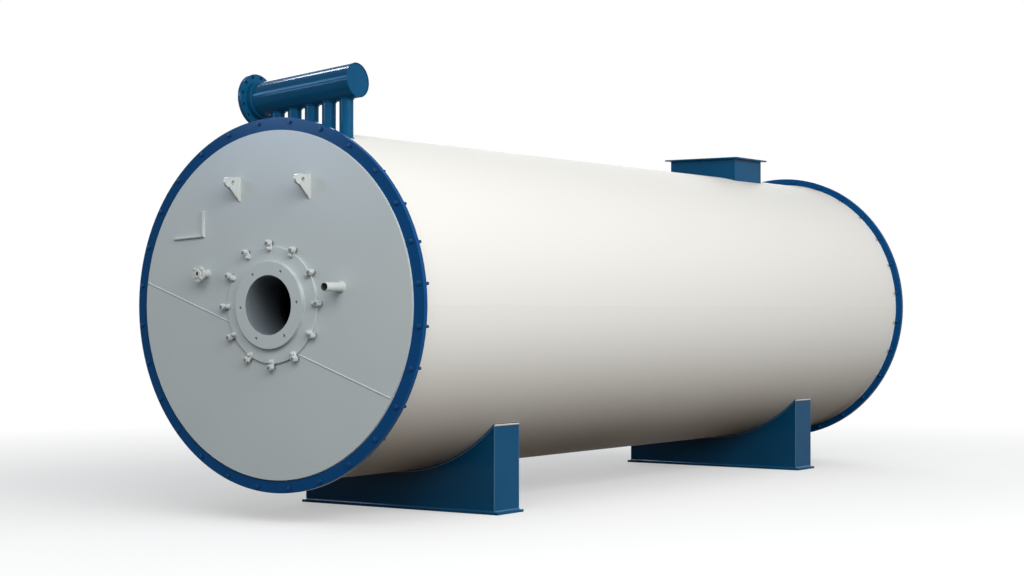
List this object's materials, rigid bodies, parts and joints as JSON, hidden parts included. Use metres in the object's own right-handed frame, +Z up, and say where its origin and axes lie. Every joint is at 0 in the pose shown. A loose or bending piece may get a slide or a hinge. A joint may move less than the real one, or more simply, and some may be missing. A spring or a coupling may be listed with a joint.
{
  "type": "horizontal boiler",
  "caption": "Horizontal fired boiler: painted cylindrical casing with bolted end covers, burner opening, pipe header on risers, flue outlet and box saddles.",
  "frame": {"origin": "on the floor, under the middle of the whole boiler", "axes": "+X to the right seen from the burner end, +Y along the casing toward the rear cover, +Z up"},
  "size_m": [2.32, 7.154, 2.8585],
  "materials": {
    "casing_paint": "satin off-white paint on rolled steel plate",
    "ring_paint": "gloss royal blue paint on steel flange rings",
    "fitting_paint": "gloss teal blue paint on steel pipe and plate",
    "cover_paint": "satin grey paint on steel plate",
    "pale_paint": "gloss pale grey paint on small steel fittings",
    "throat_steel": "dull dark grey steel",
    "sight_glass": "thick sight glass in its holder"
  },
  "bodies": {
    "root": {"shell_front_course": "casing_paint", "shell_flue_course": "casing_paint", "shell_rear_course": "casing_paint", "front_shell_flange": "ring_paint", "front_cover_ring": "ring_paint", "rear_shell_flange": "ring_paint", "rear_cover_ring": "ring_paint", "front_cover_plate": "cover_paint", "rear_cover_plate": "cover_paint", "burner_disc": "cover_paint", "burner_flange": "cover_paint", "burner_clamps": "pale_paint", "lug_left": "pale_paint", "lug_right": "pale_paint", "sight_pipe": "pale_paint", "sight_flange": "pale_paint", "probe_pipe": "pale_paint", "label_bracket": "pale_paint", "sight_glass": "sight_glass", "burner_throat": "throat_steel", "header_pipe": "fitting_paint", "header_flange": "fitting_paint", "header_cap": "fitting_paint", "flue_duct": "fitting_paint", "flue_flange": "fitting_paint", "riser_1": "fitting_paint", "riser_2": "fitting_paint", "riser_3": "fitting_paint", "riser_4": "fitting_paint", "riser_5": "fitting_paint", "front_saddle_sole": "fitting_paint", "front_saddle_front_web": "fitting_paint", "front_saddle_back_web": "fitting_paint", "front_saddle_left_end": "fitting_paint", "front_saddle_right_end": "fitting_paint", "front_saddle_pad": "fitting_paint", "rear_saddle_sole": "fitting_paint", "rear_saddle_front_web": "fitting_paint", "rear_saddle_back_web": "fitting_paint", "rear_saddle_left_end": "fitting_paint", "rear_saddle_right_end": "fitting_paint", "rear_saddle_pad": "fitting_paint"}
  },
  "joints": []
}
